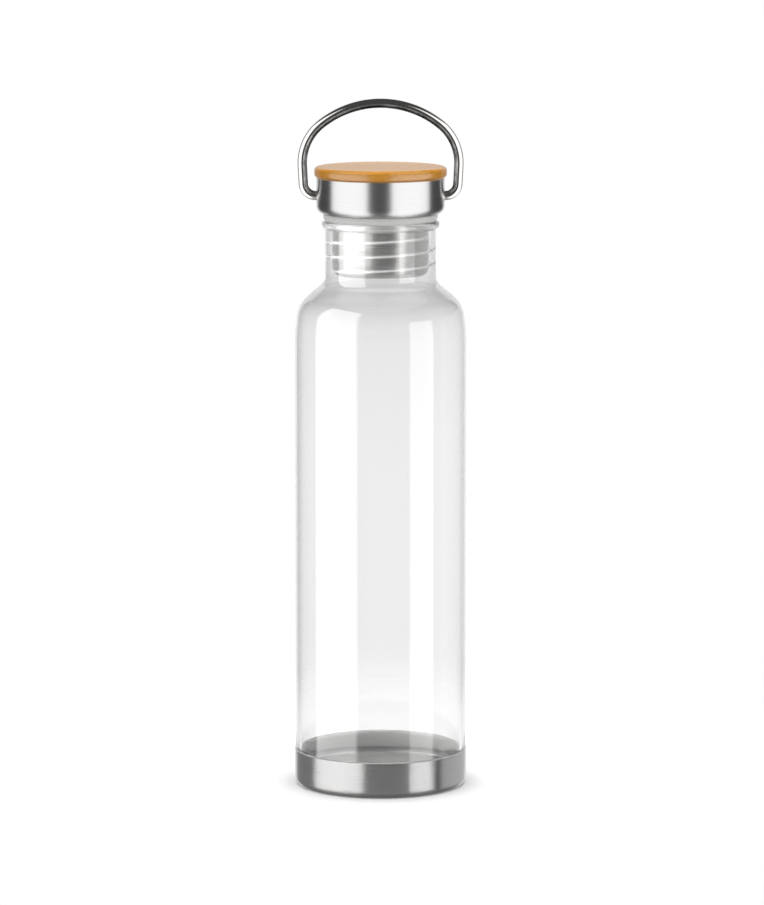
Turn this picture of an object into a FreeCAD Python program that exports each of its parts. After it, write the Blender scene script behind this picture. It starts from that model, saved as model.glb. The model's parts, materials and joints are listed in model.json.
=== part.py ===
import FreeCAD, Part
import math
import os

# A glass water bottle with a steel base cup and a screw-in lid of steel and bamboo, which
# carries a round wire handle. Millimetres, +Z up, the axis of the bottle on Z, the origin at
# the centre of the underside. The handle stands up and turns about a line parallel to X.

# Glass bottle
body_radius = 36.0
glass_wall = 2.0
glass_floor = 5.0
side_height = 185.7         # from the foot of the glass to the start of the shoulder
heel_radius = 4.0           # outside, where the side meets the foot
inner_heel_radius = 8.0
shoulder_lead_radius = 80.0     # first, gentle curve in from the straight side
shoulder_lead_angle = 9.0
shoulder_radius = 12.0          # the tighter curve over the shoulder
shoulder_slope = 7.5            # length of the straight slope below the neck
neck_fillet = 5.0
neck_radius = 23.3
neck_height = 23.3          # from the end of the neck fillet to the mouth
bead_width = 1.45           # how far the mouth bead stands out from the neck
bead_height = 2.9
bead_round = 1.2
lip_round = 0.6

# Screw thread, a raised ridge inside the neck and one outside the plug
thread_pitch = 6.0
thread_depth = 0.9
thread_clearance = 0.3      # radial, crest to root
ridge_base = 2.4
ridge_crest = 1.0
ridge_sink = 0.3            # how far a ridge is rooted in its wall
glass_thread_top = 6.1      # below the mouth, to the middle of the ridge's upper end
glass_thread_bottom = 2.8   # above the neck fillet, to the middle of its lower end
thread_end_angle = -18.0    # direction of the upper end, seen from above
plug_thread_top = 7.9       # below the mouth
plug_thread_bottom = 2.9    # above the underside of the plug

# Base cup, cushion and bond
cup_sheet = 0.3
cup_height = 15.0
cup_corner = 3.0
bond_gap = 0.1
bond_margin = 0.8           # the bond stops this far below the rim
panel_margin = 8.9          # raised middle panel of the cup's floor, in from its side
panel_rise = 0.8
cushion_thickness = 1.2
cushion_margin = 3.0        # in from the flat foot of the glass

# Gasket
gasket_thickness = 3.0
gasket_width = 2.75
gasket_taper = 0.65
gasket_clearance = 0.3      # round the plug

# Lid shell, plug, core
lid_step = 3.65             # how far the shell stands out from the neck
lid_sheet = 0.6
lid_height = 14.5
lid_corner = 3.4
plug_above_neck = 0.5       # underside of the plug above the neck fillet
collar_depth = 1.8          # plain collar of the plug, below the mouth
plug_wall = 0.8
plug_corner = 3.0
shell_hole_gap = 0.15
flange_margin = 0.25        # flanges inside the lid, in from the shell's corner
liner_wall = 1.5
liner_gap = 0.1
liner_flange = 1.0
core_wall = 1.5
core_gap = 0.15
core_web = 1.0

# Bamboo disc
bamboo_thickness = 5.2
bamboo_overhang = 0.85
bamboo_top_round = 1.6
bamboo_bottom_round = 1.2
spigot_depth = 2.1
spigot_gap = 0.25
pad_thickness = 0.3
pad_margin = 2.0

# Wire handle
wire_radius = 2.0
pivot_clearance = 0.08
finger_gap = 24.5           # bamboo to the underside of the crown
handle_side_gap = 5.85      # shell to the middle of the wire at its widest
crown_flattening = 7.2      # crown radius beyond half the handle's width
side_bend_radius = 20.8
foot_bend_radius = 5.2
leg_lean = 3.0
wire_insertion = 6.2        # inside the outer face of the shell
socket_end_gap = 0.3
boss_wall = 2.5


V = FreeCAD.Vector
AXIS_Z = V(0, 0, 1)
AXIS_X = V(1, 0, 0)


def arc(center_r, center_z, radius, start_angle, end_angle):
    """Start, middle and end of an arc in the RZ plane; angles from +R towards +Z."""
    points = []
    for angle in (start_angle, (start_angle + end_angle) / 2, end_angle):
        a = math.radians(angle)
        points.append((center_r + radius * math.cos(a), center_z + radius * math.sin(a)))
    return points


def path_edges(steps):
    """Edges through a list of points (r, z) and arcs, joined by straight lines."""
    edges = []
    here = None
    for step in steps:
        is_arc = isinstance(step, list)
        start = V(step[0][0], 0, step[0][1]) if is_arc else V(step[0], 0, step[1])
        if here is not None and here.distanceToPoint(start) > 1e-6:
            edges.append(Part.LineSegment(here, start).toShape())
        here = start
        if is_arc:
            middle = V(step[1][0], 0, step[1][1])
            here = V(step[2][0], 0, step[2][1])
            edges.append(Part.Arc(start, middle, here).toShape())
    return edges


def turned(*steps):
    """The closed outline turned about Z into a solid."""
    face = Part.Face(Part.Wire(path_edges(list(steps) + [steps[0]])))
    return face.revolve(V(0, 0, 0), AXIS_Z, 360)


def ridge(base_radius, crest_radius, low_z, top_z, top_angle):
    """A right-hand screw ridge; its middle runs from low_z to top_z, ending at top_angle."""
    height = top_z - low_z
    spine = Part.Wire(Part.makeHelix(thread_pitch, height, base_radius).Edges)
    corners = [
        V(base_radius, 0, -ridge_base / 2),
        V(crest_radius, 0, -ridge_crest / 2),
        V(crest_radius, 0, ridge_crest / 2),
        V(base_radius, 0, ridge_base / 2),
    ]
    profile = Part.makePolygon(corners + [corners[0]])
    solid = spine.makePipeShell([profile], True, True)
    solid.rotate(V(0, 0, 0), AXIS_Z, top_angle - 360 * height / thread_pitch)
    solid.translate(V(0, 0, low_z))
    return solid


def rod_x(radius, start_x, end_x, z):
    """A round rod parallel to X at height z."""
    return Part.makeCylinder(radius, end_x - start_x, V(start_x, 0, z), AXIS_X)


def shoulder_angle():
    """Steepness of the slope that joins the body to the neck, in degrees.

    The lead curve, the shoulder curve, the straight slope and the neck fillet together
    come in by body_radius - neck_radius; the angle that does so is found by halving.
    """
    lead = math.radians(shoulder_lead_angle)
    low, high = lead, math.pi / 2
    for _ in range(60):
        angle = (low + high) / 2
        inward = shoulder_lead_radius * (1 - math.cos(lead))
        inward += shoulder_radius * (math.cos(lead) - math.cos(angle))
        inward += shoulder_slope * math.sin(angle) + neck_fillet * (1 - math.cos(angle))
        if inward < body_radius - neck_radius:
            low = angle
        else:
            high = angle
    return math.degrees(angle)


# Heights that follow from the sizes above
slope_angle = shoulder_angle()
foot_z = cup_sheet + panel_rise + cushion_thickness
floor_z = foot_z + glass_floor
shoulder_z = foot_z + side_height
lead_a, slope_a = math.radians(shoulder_lead_angle), math.radians(slope_angle)
neck_z = (
    shoulder_z
    + shoulder_lead_radius * math.sin(lead_a)
    + shoulder_radius * (math.sin(slope_a) - math.sin(lead_a))
    + shoulder_slope * math.cos(slope_a)
    + neck_fillet * math.sin(slope_a)
)
mouth_z = neck_z + neck_height
lid_z = mouth_z + gasket_thickness
shell_floor_z = lid_z + lid_sheet
shell_top_z = lid_z + lid_height
lid_top_z = shell_top_z + bamboo_thickness
plug_z = neck_z + plug_above_neck
flange_z = shell_floor_z + lid_sheet + liner_flange
core_wall_z = lid_z + lid_corner
web_top_z = core_wall_z + core_web
deck_top_z = shell_top_z - spigot_depth - pad_thickness
deck_low_z = deck_top_z - core_wall
pivot_z = (web_top_z + deck_low_z) / 2

# Radii that follow from the sizes above
neck_bore = neck_radius - glass_wall
glass_crest = neck_bore - thread_depth
plug_crest = neck_bore - thread_clearance
plug_root = glass_crest - thread_clearance
plug_bore = plug_root - plug_wall
gasket_bore = plug_crest + gasket_clearance
lid_radius = neck_radius + lid_step
shell_bore = lid_radius - lid_sheet
flange_radius = lid_radius - lid_corner - flange_margin
cup_bore = body_radius + bond_gap
cup_radius = cup_bore + cup_sheet
pivot_radius = wire_radius + pivot_clearance


def shoulder(inset):
    """The shoulder's curves, body to neck, moved inwards by inset."""
    lead_center = (body_radius - shoulder_lead_radius, shoulder_z)
    step = shoulder_lead_radius - shoulder_radius
    top_center = (lead_center[0] + step * math.cos(lead_a),
                  lead_center[1] + step * math.sin(lead_a))
    return [
        arc(*lead_center, shoulder_lead_radius - inset, 0, shoulder_lead_angle),
        arc(*top_center, shoulder_radius - inset, shoulder_lead_angle, slope_angle),
        arc(neck_radius + neck_fillet, neck_z, neck_fillet + inset, 180 + slope_angle, 180),
    ]


def glass_bottle():
    """Blown body with a thick floor, a beaded mouth and a screw ridge inside the neck."""
    bead_r = neck_radius + bead_width - bead_round
    bead_bottom = mouth_z - bead_height
    blank = turned(
        (0, foot_z),
        arc(body_radius - heel_radius, foot_z + heel_radius, heel_radius, -90, 0),
        *shoulder(0),
        (neck_radius, bead_bottom),
        arc(bead_r, bead_bottom + bead_round, bead_round, -90, 0),
        arc(bead_r, mouth_z - bead_round, bead_round, 0, 90),
        (0, mouth_z),
    )
    inner_radius = body_radius - glass_wall
    heel_center = (inner_radius - inner_heel_radius, floor_z + inner_heel_radius)
    cavity = turned(
        (0, floor_z),
        arc(*heel_center, inner_heel_radius, -90, 0),
        *shoulder(glass_wall),
        arc(neck_bore + lip_round, mouth_z - lip_round, lip_round, 180, 90),
        (0, mouth_z),
    )
    thread = ridge(neck_bore + ridge_sink, glass_crest, neck_z + glass_thread_bottom,
                   mouth_z - glass_thread_top, thread_end_angle)
    return blank.cut(cavity).fuse(thread)


def base_cup():
    """Pressed steel cup round the foot of the glass, its middle panel raised."""
    inner_corner = cup_corner - cup_sheet
    corner_r = cup_radius - cup_corner
    panel_radius = cup_radius - panel_margin
    return turned(
        (0, panel_rise),
        (panel_radius, panel_rise),
        (panel_radius, 0),
        arc(corner_r, cup_corner, cup_corner, -90, 0),
        (cup_radius, cup_height),
        (cup_bore, cup_height),
        arc(corner_r, cup_corner, inner_corner, 0, -90),
        (panel_radius + cup_sheet, cup_sheet),
        (panel_radius + cup_sheet, panel_rise + cup_sheet),
        (0, panel_rise + cup_sheet),
    )


def base_cushion():
    """Soft disc between the cup's panel and the glass."""
    low = cup_sheet + panel_rise
    radius = body_radius - heel_radius - cushion_margin
    return turned((0, low), (radius, low), (radius, foot_z), (0, foot_z))


def base_bond():
    """Thin ring of clear adhesive between the cup's wall and the glass."""
    low, high = foot_z + heel_radius, cup_height - bond_margin
    return turned((body_radius, low), (cup_bore, low), (cup_bore, high), (body_radius, high))


def lid_gasket():
    """Silicone ring round the plug, pressed on the mouth; it narrows downwards."""
    top_radius = gasket_bore + gasket_width
    return turned(
        (gasket_bore, mouth_z),
        (top_radius - gasket_taper, mouth_z),
        (top_radius, mouth_z + gasket_thickness / 2),
        (top_radius, lid_z),
        (gasket_bore, lid_z),
    )


def lid_shell():
    """Drawn steel shell with a hole for the plug below and a pivot hole on each side."""
    corner_r, corner_z = lid_radius - lid_corner, lid_z + lid_corner
    hole_radius = plug_crest + shell_hole_gap
    shell = turned(
        (hole_radius, lid_z),
        arc(corner_r, corner_z, lid_corner, -90, 0),
        (lid_radius, shell_top_z),
        (shell_bore, shell_top_z),
        arc(corner_r, corner_z, lid_corner - lid_sheet, 0, -90),
        (hole_radius, shell_floor_z),
    )
    return shell.cut(rod_x(pivot_radius, -lid_radius - 1, lid_radius + 1, pivot_z))


def plug_cup():
    """Steel cup that hangs through the shell, with a flange inside and a screw ridge."""
    collar_z = mouth_z - collar_depth
    cup = turned(
        (0, plug_z),
        arc(plug_root - plug_corner, plug_z + plug_corner, plug_corner, -90, 0),
        (plug_root, collar_z - thread_depth),
        (plug_crest, collar_z),
        (plug_crest, shell_floor_z),
        (flange_radius, shell_floor_z),
        (flange_radius, shell_floor_z + lid_sheet),
        (plug_bore, shell_floor_z + lid_sheet),
        arc(plug_root - plug_corner, plug_z + plug_corner, plug_corner - plug_wall, 0, -90),
        (0, plug_z + plug_wall),
    )
    # The plug's ridge runs midway between the turns of the glass ridge.
    behind = plug_thread_top - glass_thread_top + thread_pitch / 2
    top_angle = thread_end_angle - 360 * behind / thread_pitch
    return cup.fuse(ridge(plug_root - ridge_sink, plug_crest, plug_z + plug_thread_bottom,
                          mouth_z - plug_thread_top, top_angle))


def plug_liner():
    """Hollow plastic lining of the plug, with a flange that lies on the steel one."""
    outer = plug_bore - liner_gap
    inner = outer - liner_wall
    low = plug_z + plug_wall + liner_gap
    corner = plug_corner - plug_wall
    return turned(
        (0, low),
        arc(outer - corner, low + corner, corner, -90, 0),
        (outer, flange_z - liner_flange),
        (flange_radius, flange_z - liner_flange),
        (flange_radius, flange_z),
        (inner, flange_z),
        (inner, low + liner_wall),
        (0, low + liner_wall),
    )


def lid_core():
    """Plastic core of the lid: deck, wall and web, with a socketed boss on each side."""
    outer = shell_bore - core_gap
    inner = outer - core_wall
    core = turned(
        (0, deck_low_z),
        (inner, deck_low_z),
        (inner, web_top_z),
        (plug_bore, web_top_z),
        (plug_bore, flange_z),
        (flange_radius, flange_z),
        (flange_radius, core_wall_z),
        (outer, core_wall_z),
        (outer, deck_top_z),
        (0, deck_top_z),
    )
    socket_end = lid_radius - wire_insertion - socket_end_gap
    boss_start = socket_end - boss_wall
    boss_half = pivot_radius + boss_wall
    boss_height = deck_low_z - web_top_z
    rim = Part.makeCylinder(inner + core_wall / 2, boss_height, V(0, 0, web_top_z))
    for start_x, socket_x in ((boss_start, socket_end), (-inner, -lid_radius)):
        boss = Part.makeBox(inner - boss_start, 2 * boss_half, boss_height,
                            V(start_x, -boss_half, web_top_z))
        core = core.fuse(boss.common(rim))
        core = core.cut(rod_x(pivot_radius, socket_x, socket_x + lid_radius - socket_end, pivot_z))
    return core.removeSplitter()


def bamboo_disc():
    """Turned bamboo cap with rounded edges and a spigot that fits inside the shell."""
    radius = lid_radius + bamboo_overhang
    spigot = shell_bore - spigot_gap
    return turned(
        (0, shell_top_z - spigot_depth),
        (spigot, shell_top_z - spigot_depth),
        (spigot, shell_top_z),
        arc(radius - bamboo_bottom_round, shell_top_z + bamboo_bottom_round,
            bamboo_bottom_round, -90, 0),
        arc(radius - bamboo_top_round, lid_top_z - bamboo_top_round, bamboo_top_round, 0, 90),
        (0, lid_top_z),
    )


def bamboo_bond():
    """Flat adhesive pad between the core's deck and the bamboo spigot."""
    high = shell_top_z - spigot_depth
    low = high - pad_thickness
    radius = shell_bore - spigot_gap - pad_margin
    return turned((0, low), (radius, low), (radius, high), (0, high))


def handle_path():
    """Half of the wire's centre line, from the crown to its end in the socket.

    A wide crown arc runs into a tighter side bend, then a leg that leans in slightly, a
    foot bend and a straight end on the pivot line. Each piece is tangent to the next.
    """
    half_width = lid_radius + handle_side_gap
    crown_radius = half_width + crown_flattening
    crown_z = lid_top_z + finger_gap + wire_radius
    between = crown_radius - side_bend_radius
    side_r = half_width - side_bend_radius
    crown_angle = math.degrees(math.acos(side_r / between))
    side_z = crown_z - crown_radius + between * math.sin(math.radians(crown_angle))
    lean = math.radians(leg_lean)
    leg_top = (side_r + side_bend_radius * math.cos(lean),
               side_z - side_bend_radius * math.sin(lean))
    foot_z_high = pivot_z + foot_bend_radius * (1 - math.sin(lean))
    leg_in = (leg_top[1] - foot_z_high) * math.tan(lean)
    foot_r = leg_top[0] - leg_in - foot_bend_radius * math.cos(lean)
    return [
        arc(0, crown_z - crown_radius, crown_radius, 90, crown_angle),
        arc(side_r, side_z, side_bend_radius, crown_angle, -leg_lean),
        arc(foot_r, pivot_z + foot_bend_radius, foot_bend_radius, -leg_lean, -90),
        (lid_radius - wire_insertion, pivot_z),
    ]


def carry_handle():
    """Round wire bent into a handle; its ends turn in the sockets of the core."""
    half = Part.Wire(path_edges(handle_path()))
    mirrored = half.mirror(V(0, 0, 0), AXIS_X)
    spine = Part.Wire(Part.__sortEdges__(half.Edges + mirrored.Edges))
    start_x = lid_radius - wire_insertion
    section = Part.Wire(Part.makeCircle(wire_radius, V(start_x, 0, pivot_z), AXIS_X))
    return spine.makePipeShell([section], True, True)


os.makedirs("parts", exist_ok=True)
for make in (glass_bottle, base_cup, base_cushion, base_bond, lid_gasket, lid_shell, plug_cup,
             plug_liner, lid_core, bamboo_disc, bamboo_bond, carry_handle):
    make().exportStep(f"parts/{make.__name__}.step")
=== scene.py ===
import json
import math

import bpy
import numpy as np
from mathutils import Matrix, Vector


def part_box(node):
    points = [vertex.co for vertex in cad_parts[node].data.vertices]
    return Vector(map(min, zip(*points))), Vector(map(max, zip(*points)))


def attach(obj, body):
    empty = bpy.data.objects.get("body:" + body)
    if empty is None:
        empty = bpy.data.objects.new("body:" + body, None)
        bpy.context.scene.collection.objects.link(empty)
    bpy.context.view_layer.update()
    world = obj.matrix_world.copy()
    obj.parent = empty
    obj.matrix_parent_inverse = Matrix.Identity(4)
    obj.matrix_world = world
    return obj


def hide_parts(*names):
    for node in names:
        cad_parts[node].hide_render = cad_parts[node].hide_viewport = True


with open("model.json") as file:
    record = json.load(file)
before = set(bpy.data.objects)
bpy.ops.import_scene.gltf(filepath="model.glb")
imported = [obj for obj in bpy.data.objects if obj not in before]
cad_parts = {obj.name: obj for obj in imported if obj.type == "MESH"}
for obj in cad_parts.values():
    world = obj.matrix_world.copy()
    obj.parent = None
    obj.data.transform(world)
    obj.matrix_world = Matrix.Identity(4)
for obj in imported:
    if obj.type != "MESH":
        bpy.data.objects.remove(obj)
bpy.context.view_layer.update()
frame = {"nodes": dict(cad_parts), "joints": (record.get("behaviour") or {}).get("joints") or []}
MM = 0.001


# Glass bottle. Borosilicate glass, blown into a mould: a straight body 2 mm thick on a heavier
# floor, a rounded shoulder and a plain neck that ends in a bead. A right-hand screw ridge runs
# round the inside of the neck.

def line(start, end, count=2):
    """count points (r, z) in mm, evenly spaced from start to end."""
    return np.linspace(start, end, count)


def bend(center, radius, start_angle, end_angle, count=10):
    """An arc in the RZ plane: center + radius * (cos a, sin a), with a from +R towards +Z."""
    a = np.radians(np.linspace(start_angle, end_angle, count))
    return np.stack([center[0] + radius * np.cos(a), center[1] + radius * np.sin(a)], axis=1)


def outline(*runs):
    """The runs joined into one outline, without doubled points."""
    points = np.vstack(runs)
    step = np.linalg.norm(np.diff(points, axis=0), axis=1)
    return points[np.concatenate([[True], step > 1e-5])]


def make_mesh(name, points, faces, uv):
    """A smooth-shaded object at the origin from vertices in mm, faces and one UV per corner."""
    mesh = bpy.data.meshes.new(name)
    mesh.from_pydata((points * MM).tolist(), [], faces)
    layer = mesh.uv_layers.new(name="surface_mm")
    layer.data.foreach_set("uv", np.asarray(uv, dtype=np.float32).ravel())
    mesh.polygons.foreach_set("use_smooth", np.ones(len(faces), dtype=bool))
    mesh.validate()
    obj = bpy.data.objects.new(name, mesh)
    bpy.context.scene.collection.objects.link(obj)
    return obj


def lathe(name, points, segments=192, swell=None):
    """Turns an outline about Z: x = r cos t, y = r sin t, z = z, with t from 0 to a full turn.

    swell(t, z, r) may add to r. An outline that starts and ends on the axis is closed there by
    a fan of triangles; any other outline is closed on itself. The UV map holds millimetres:
    the way round the widest circle, and the way along the outline.
    """
    poles = points[0, 0] < 1e-6 and points[-1, 0] < 1e-6
    t = np.arange(segments) * 2 * np.pi / segments
    body = points[1:-1] if poles else points
    r = np.repeat(body[:, :1], segments, axis=1)
    z = np.repeat(body[:, 1:], segments, axis=1)
    if swell is not None:
        r = r + swell(t[None, :], z, r)
    rings = np.stack([r * np.cos(t), r * np.sin(t), z], axis=2).reshape(-1, 3)

    rows = len(body)
    last = rows - 1 if poles else rows
    i = np.arange(last)[:, None]
    j = np.arange(segments)[None, :]
    here, after = i * segments, ((i + 1) % rows) * segments
    right = (j + 1) % segments
    quads = np.stack([here + j, here + right, after + right, after + j], axis=2).reshape(-1, 4)

    way = np.concatenate([[0], np.cumsum(np.linalg.norm(np.diff(points, axis=0), axis=1))])
    round_mm = points[:, 0].max() * 2 * np.pi / segments
    first = 1 if poles else 0
    low = way[first:first + last][:, None] + 0 * j
    closing = np.linalg.norm(points[0] - points[-1])
    high = np.concatenate([way[first + 1:], [way[-1] + closing]])[:last][:, None] + 0 * j
    u0, u1 = j * round_mm + 0 * i, (j + 1) * round_mm + 0 * i
    uv = np.stack([u0, low, u1, low, u1, high, u0, high], axis=2).reshape(-1, 2)
    faces = quads.tolist()
    if poles:
        bottom, top = len(rings), len(rings) + 1
        rings = np.vstack([rings, [0, 0, points[0, 1]], [0, 0, points[-1, 1]]])
        j = j[0]
        right = right[0]
        start = (rows - 1) * segments
        faces += np.stack([0 * j + bottom, right, j], axis=1).tolist()
        faces += np.stack([start + j, start + right, 0 * j + top], axis=1).tolist()
        middle = (j + 0.5) * round_mm
        under = np.stack([middle, 0 * j, (j + 1) * round_mm, 0 * j + way[1],
                          j * round_mm, 0 * j + way[1]], axis=1)
        over = np.stack([j * round_mm, 0 * j + way[-2], (j + 1) * round_mm, 0 * j + way[-2],
                         middle, 0 * j + way[-1]], axis=1)
        uv = np.vstack([uv, under.reshape(-1, 2), over.reshape(-1, 2)])
    return make_mesh(name, rings, faces, uv)


THREAD_PITCH = 6.0
RIDGE_FOOT = 0.8        # half widths of the ridge at its foot and on its crest
RIDGE_TOP = 0.1
RIDGE_FADE = 0.5        # rise of the helix over which an end of the ridge runs out


def screw_ridge(t, z, low_z, top_z, top_angle, foot=RIDGE_FOOT):
    """Height of a screw ridge from 0 to 1 at direction t and height z.

    The crest lies at top_z - pitch * (top_angle - t) / full turn, give or take whole
    pitches. The flank is a smooth step from the crest to the foot, and each end runs out.
    """
    crest = top_z - THREAD_PITCH * (math.radians(top_angle) - t) / (2 * np.pi)
    away = (z - crest + THREAD_PITCH / 2) % THREAD_PITCH - THREAD_PITCH / 2
    flank = np.clip((foot - np.abs(away)) / (foot - RIDGE_TOP), 0, 1)
    along = z - away
    ends = np.clip((along - low_z) / RIDGE_FADE, 0, 1) * np.clip((top_z - along) / RIDGE_FADE, 0, 1)
    return flank * flank * (3 - 2 * flank) * ends * ends * (3 - 2 * ends)


def srgb(code):
    """Linear RGBA from a hex sRGB colour."""
    value = np.array([int(code[i:i + 2], 16) for i in (1, 3, 5)]) / 255
    linear = np.where(value <= 0.04045, value / 12.92, ((value + 0.055) / 1.055) ** 2.4)
    return (*linear.tolist(), 1.0)


def new_material(name):
    """A material with its Principled shader: (material, tree, shader)."""
    material = bpy.data.materials.new(name)
    material.use_nodes = True
    tree = material.node_tree
    return material, tree, tree.nodes["Principled BSDF"]


def node(tree, kind, links=None, values=None, **settings):
    """Adds a node, sets its properties and input values, and links its inputs to outputs."""
    added = tree.nodes.new(kind)
    for key, value in settings.items():
        setattr(added, key, value)
    for key, value in (values or {}).items():
        added.inputs[key].default_value = value
    for key, output in (links or {}).items():
        tree.links.new(output, added.inputs[key])
    return added


GLASS_LOW, GLASS_HIGH = (np.array(corner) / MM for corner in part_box("glass_bottle"))
BODY_R = GLASS_HIGH[0]
FOOT_Z = GLASS_LOW[2]
MOUTH_Z = GLASS_HIGH[2]
WALL = 2.0
FLOOR_Z = FOOT_Z + 5.0
SHOULDER_Z = FOOT_Z + 185.7
LEAD_R, LEAD_ANGLE = 80.0, 9.0
SHOULDER_R = 12.0
SLOPE_ANGLE = 50.14
NECK_FILLET = 5.0
NECK_R = 23.3
NECK_Z = MOUTH_Z - 23.3
HEEL_R, INNER_HEEL_R = 4.0, 8.0
BEAD_OUT, BEAD_HEIGHT, BEAD_ROUND = 1.45, 2.9, 1.2
LIP_ROUND = 0.6
NECK_BORE = NECK_R - WALL
GLASS_RIDGE = 0.9
RIDGE_SHOWN = 0.12      # drawn lower than it is moulded, as the softened glass shows it
RIDGE_FROM_Z, RIDGE_TO_Z = NECK_Z + 2.8, MOUTH_Z - 6.1
RIDGE_TO_ANGLE = -18    # direction of the upper end, in degrees from +X
BORE_ROOM = 0.02        # a point this near the bore counts as on it


def shoulder(inset):
    """The curves from the straight side to the neck, moved inwards by inset."""
    lead = np.array([BODY_R - LEAD_R, SHOULDER_Z])
    a = math.radians(LEAD_ANGLE)
    over = lead + (LEAD_R - SHOULDER_R) * np.array([math.cos(a), math.sin(a)])
    return np.vstack([
        bend(lead, LEAD_R - inset, 0, LEAD_ANGLE, 8),
        bend(over, SHOULDER_R - inset, LEAD_ANGLE, SLOPE_ANGLE, 16),
        bend((NECK_R + NECK_FILLET, NECK_Z), NECK_FILLET + inset, 180 + SLOPE_ANGLE, 180, 16),
    ])


bead_r = NECK_R + BEAD_OUT - BEAD_ROUND
outside = [
    line((0, FOOT_Z), (BODY_R - HEEL_R, FOOT_Z), 6),
    bend((BODY_R - HEEL_R, FOOT_Z + HEEL_R), HEEL_R, -90, 0),
    line((BODY_R, FOOT_Z + HEEL_R), (BODY_R, SHOULDER_Z), 24),
    shoulder(0),
    line((NECK_R, NECK_Z), (NECK_R, MOUTH_Z - BEAD_HEIGHT - 0.6), 6),
    bend((NECK_R + 0.6, MOUTH_Z - BEAD_HEIGHT - 0.6), 0.6, 180, 130, 5),
    bend((bead_r, MOUTH_Z - BEAD_HEIGHT + BEAD_ROUND), BEAD_ROUND, -55, 0, 8),
    bend((bead_r, MOUTH_Z - BEAD_ROUND), BEAD_ROUND, 0, 90, 10),
]
inside = [
    bend((NECK_BORE + LIP_ROUND, MOUTH_Z - LIP_ROUND), LIP_ROUND, 90, 180, 6),
    line((NECK_BORE, MOUTH_Z - 1.0), (NECK_BORE, NECK_Z), 150),
    shoulder(WALL)[::-1],
    line((BODY_R - WALL, SHOULDER_Z), (BODY_R - WALL, FLOOR_Z + INNER_HEEL_R), 24),
    bend((BODY_R - WALL - INNER_HEEL_R, FLOOR_Z + INNER_HEEL_R), INNER_HEEL_R, 0, -90, 14),
    line((BODY_R - WALL - INNER_HEEL_R, FLOOR_Z), (0, FLOOR_Z), 6),
]


def neck_ridge(t, z, r):
    """The ridge stands inwards from the bore of the neck, by up to its full height."""
    height = screw_ridge(t, z, RIDGE_FROM_Z, RIDGE_TO_Z, RIDGE_TO_ANGLE)
    return -RIDGE_SHOWN * GLASS_RIDGE * height * (r < NECK_BORE + BORE_ROOM)


bottle = lathe("glass_body", outline(*outside, *inside), 256, neck_ridge)
# The attribute ridge_crest holds the ridge's height, from 0 at its foot to 1 on its crest.
spot = np.zeros(len(bottle.data.vertices) * 3)
bottle.data.vertices.foreach_get("co", spot)
spot = spot.reshape(-1, 3) / MM
spot_r, spot_t = np.hypot(spot[:, 0], spot[:, 1]), np.arctan2(spot[:, 1], spot[:, 0])
crest = neck_ridge(spot_t, spot[:, 2], spot_r) / (-RIDGE_SHOWN * GLASS_RIDGE)
crest *= spot[:, 2] > NECK_Z
layer = bottle.data.attributes.new("ridge_crest", "FLOAT", "POINT")
layer.data.foreach_set("value", crest.astype(np.float32))

# Clear borosilicate glass, fire-finished: a mirror-smooth surface with a very faint waviness of
# about 45 mm from the mould, which bends the reflections of the lamps a little. The shoulder and
# neck are painted a little grey in the glass's colour: painted shade, darkest on the shoulder's
# slope.
PAINTED_SHADE_FOOT, PAINTED_SHADE_TOP = 150, 250      # heights in mm between which the grey changes
glass, tree, shader = new_material("borosilicate_glass")
shader.inputs["Roughness"].default_value = 0.0
shader.inputs["IOR"].default_value = 1.47
shader.inputs["Transmission Weight"].default_value = 1.0
place = node(tree, "ShaderNodeTexCoord")
height = node(tree, "ShaderNodeSeparateXYZ", {"Vector": place.outputs["Object"]})
upper = node(tree, "ShaderNodeMapRange", {"Value": height.outputs["Z"]},
             {"From Min": PAINTED_SHADE_FOOT * MM, "From Max": PAINTED_SHADE_TOP * MM})
tint = node(tree, "ShaderNodeValToRGB", {"Fac": upper.outputs["Result"]})
tones = tint.color_ramp.elements
tones[0].position, tones[0].color = 0.0, srgb("#FFFFFF")
tones[1].position, tones[1].color = 0.90, srgb("#FCFCFC")
# Painted shade: these stops grey the colour over the shoulder and neck, most at 207 mm.
for z_mm, tone in ((190, "#FCFCFC"), (197, "#F9F9F9"), (201, "#F4F4F4"), (204, "#EDEDED"),
                   (207, "#E3E3E3"), (210, "#E4E4E4"), (213, "#EEEEEE"), (217, "#F5F5F5"),
                   (222, "#FAFAFA")):
    tones.new((z_mm - PAINTED_SHADE_FOOT) / (PAINTED_SHADE_TOP - PAINTED_SHADE_FOOT)).color = srgb(tone)
tree.links.new(tint.outputs["Color"], shader.inputs["Base Color"])
waves = node(tree, "ShaderNodeTexNoise", {"Vector": place.outputs["Object"]},
             {"Scale": 1 / (45 * MM), "Detail": 0.0})
bump = node(tree, "ShaderNodeBump", {"Height": waves.outputs["Fac"]},
            {"Strength": 0.05, "Distance": 0.2 * MM})
tree.links.new(bump.outputs["Normal"], shader.inputs["Normal"])
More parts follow.
